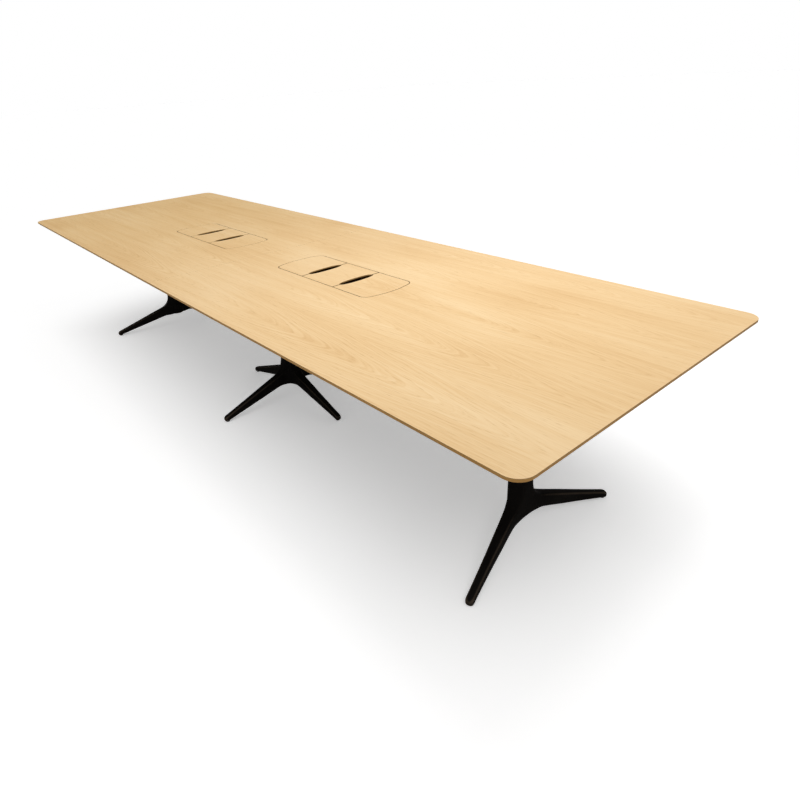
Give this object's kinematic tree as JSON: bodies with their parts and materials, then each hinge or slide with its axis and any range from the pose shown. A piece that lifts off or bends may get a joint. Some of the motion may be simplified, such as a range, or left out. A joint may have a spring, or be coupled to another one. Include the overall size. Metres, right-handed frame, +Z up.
{
  "type": "conference table",
  "caption": "Long boat-edged veneer conference table on sculpted cast pedestal bases, with flush cable hatches whose lids rock open over steel trays.",
  "frame": {"origin": "on the floor under the middle of the table top", "axes": "+X along the table, +Y across it, +Z up"},
  "size_m": [3.6, 1.1, 0.71],
  "materials": {
    "oak_veneer": "satin lacquer",
    "oak_lipping": "satin lacquer",
    "black_cast": "black satin powder coat",
    "black_steel": "black fine-texture powder coat",
    "pin_steel": "turned",
    "bush_plastic": "natural",
    "glide_plastic": "moulded"
  },
  "bodies": {
    "table": {"top_board_right": "oak_veneer", "edge_lipping_right": "oak_lipping", "bridge_panel_right": "oak_veneer", "cable_tray_right": "black_steel", "ledge_right_rear": "black_steel", "ledge_right_front": "black_steel", "top_board_left": "oak_veneer", "edge_lipping_left": "oak_lipping", "bridge_panel_left": "oak_veneer", "cable_tray_left": "black_steel", "ledge_left_rear": "black_steel", "ledge_left_front": "black_steel", "stop_rail_right_outer": "black_steel", "pivot_bush_right_outer_front": "bush_plastic", "pivot_bush_right_outer_rear": "bush_plastic", "stop_rail_right_inner": "black_steel", "pivot_bush_right_inner_front": "bush_plastic", "pivot_bush_right_inner_rear": "bush_plastic", "stop_rail_left_outer": "black_steel", "pivot_bush_left_outer_front": "bush_plastic", "pivot_bush_left_outer_rear": "bush_plastic", "stop_rail_left_inner": "black_steel", "pivot_bush_left_inner_front": "bush_plastic", "pivot_bush_left_inner_rear": "bush_plastic", "rail_rear": "black_steel", "seam_plate_rear": "black_steel", "rail_front": "black_steel", "seam_plate_front": "black_steel", "base_casting_right": "black_cast", "column_right": "black_cast", "head_plate_right": "black_steel", "glide_right_rear": "glide_plastic", "glide_right_front": "glide_plastic", "base_casting_left": "black_cast", "column_left": "black_cast", "head_plate_left": "black_steel", "glide_left_rear": "glide_plastic", "glide_left_front": "glide_plastic", "base_casting_middle": "black_cast", "column_middle": "black_cast", "head_plate_middle": "black_steel", "glide_middle_right": "glide_plastic", "glide_middle_rear": "glide_plastic", "glide_middle_left": "glide_plastic", "glide_middle_front": "glide_plastic"},
    "right_outer_lid": {"lid_right_outer": "oak_veneer", "pivot_pin_right_outer_front": "pin_steel", "pivot_pin_right_outer_rear": "pin_steel"},
    "right_inner_lid": {"lid_right_inner": "oak_veneer", "pivot_pin_right_inner_front": "pin_steel", "pivot_pin_right_inner_rear": "pin_steel"},
    "left_outer_lid": {"lid_left_outer": "oak_veneer", "pivot_pin_left_outer_front": "pin_steel", "pivot_pin_left_outer_rear": "pin_steel"},
    "left_inner_lid": {"lid_left_inner": "oak_veneer", "pivot_pin_left_inner_front": "pin_steel", "pivot_pin_left_inner_rear": "pin_steel"}
  },
  "joints": [
    {"name": "right_outer_lid_hinge", "type": "hinge", "parent": "table", "child": "right_outer_lid", "pos_m": [0.7605, 0, 0.701], "axis": [0, 1, 0], "range_deg": [0, 95]},
    {"name": "right_inner_lid_hinge", "type": "hinge", "parent": "table", "child": "right_inner_lid", "pos_m": [0.2495, 0, 0.701], "axis": [0, -1, 0], "range_deg": [0, 95]},
    {"name": "left_outer_lid_hinge", "type": "hinge", "parent": "table", "child": "left_outer_lid", "pos_m": [-0.7605, 0, 0.701], "axis": [0, -1, 0], "range_deg": [0, 95]},
    {"name": "left_inner_lid_hinge", "type": "hinge", "parent": "table", "child": "left_inner_lid", "pos_m": [-0.2495, 0, 0.701], "axis": [0, 1, 0], "range_deg": [0, 95]}
  ]
}
